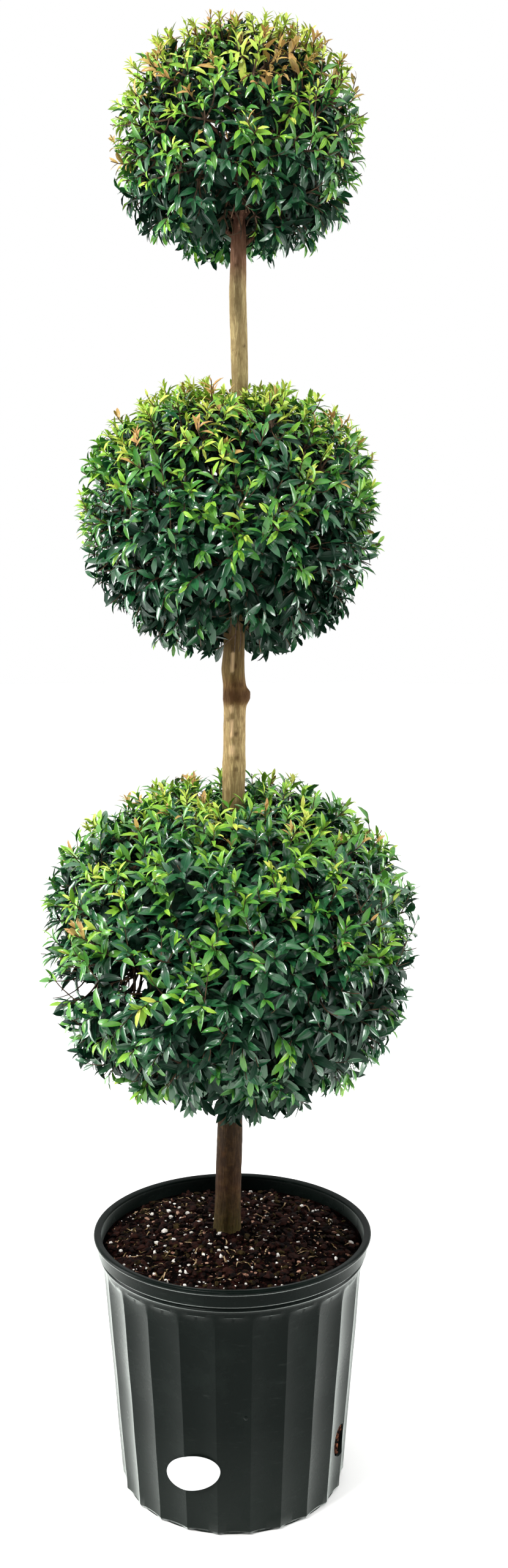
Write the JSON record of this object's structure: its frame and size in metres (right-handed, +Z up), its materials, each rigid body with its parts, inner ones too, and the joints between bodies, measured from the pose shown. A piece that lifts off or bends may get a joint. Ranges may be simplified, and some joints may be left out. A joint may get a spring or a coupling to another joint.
{
  "type": "potted dwarf brush cherry topiary",
  "caption": "Small-leaved evergreen clipped into round leaf balls stacked along one bare upright stem, standing in a ribbed round plastic nursery pot filled with potting mix.",
  "frame": {"origin": "centre of the pot's flat underside", "axes": "+Z up along the stem, -Y towards the front of the picture, +X to its right"},
  "size_m": [0.3538, 0.3538, 1.3293],
  "materials": {
    "black_plastic": "satin black polypropylene with a faint green-grey cast",
    "potting_mix": "damp dark bark and peat mix with white perlite",
    "white_film": "white adhesive film, left bare",
    "bark": "thin smooth to finely cracked brown bark",
    "leaves": "waxy green leaves"
  },
  "bodies": {
    "root": {"pot": "black_plastic", "soil": "potting_mix", "sticker": "white_film", "stem": "bark", "top_bough_1": "bark", "top_bough_2": "bark", "top_bough_3": "bark", "middle_bough_1": "bark", "middle_bough_2": "bark", "middle_bough_3": "bark", "middle_bough_4": "bark", "bottom_bough_1": "bark", "bottom_bough_2": "bark", "bottom_bough_3": "bark", "bottom_bough_4": "bark", "top_ball": "leaves", "middle_ball": "leaves", "bottom_ball": "leaves"}
  },
  "joints": []
}
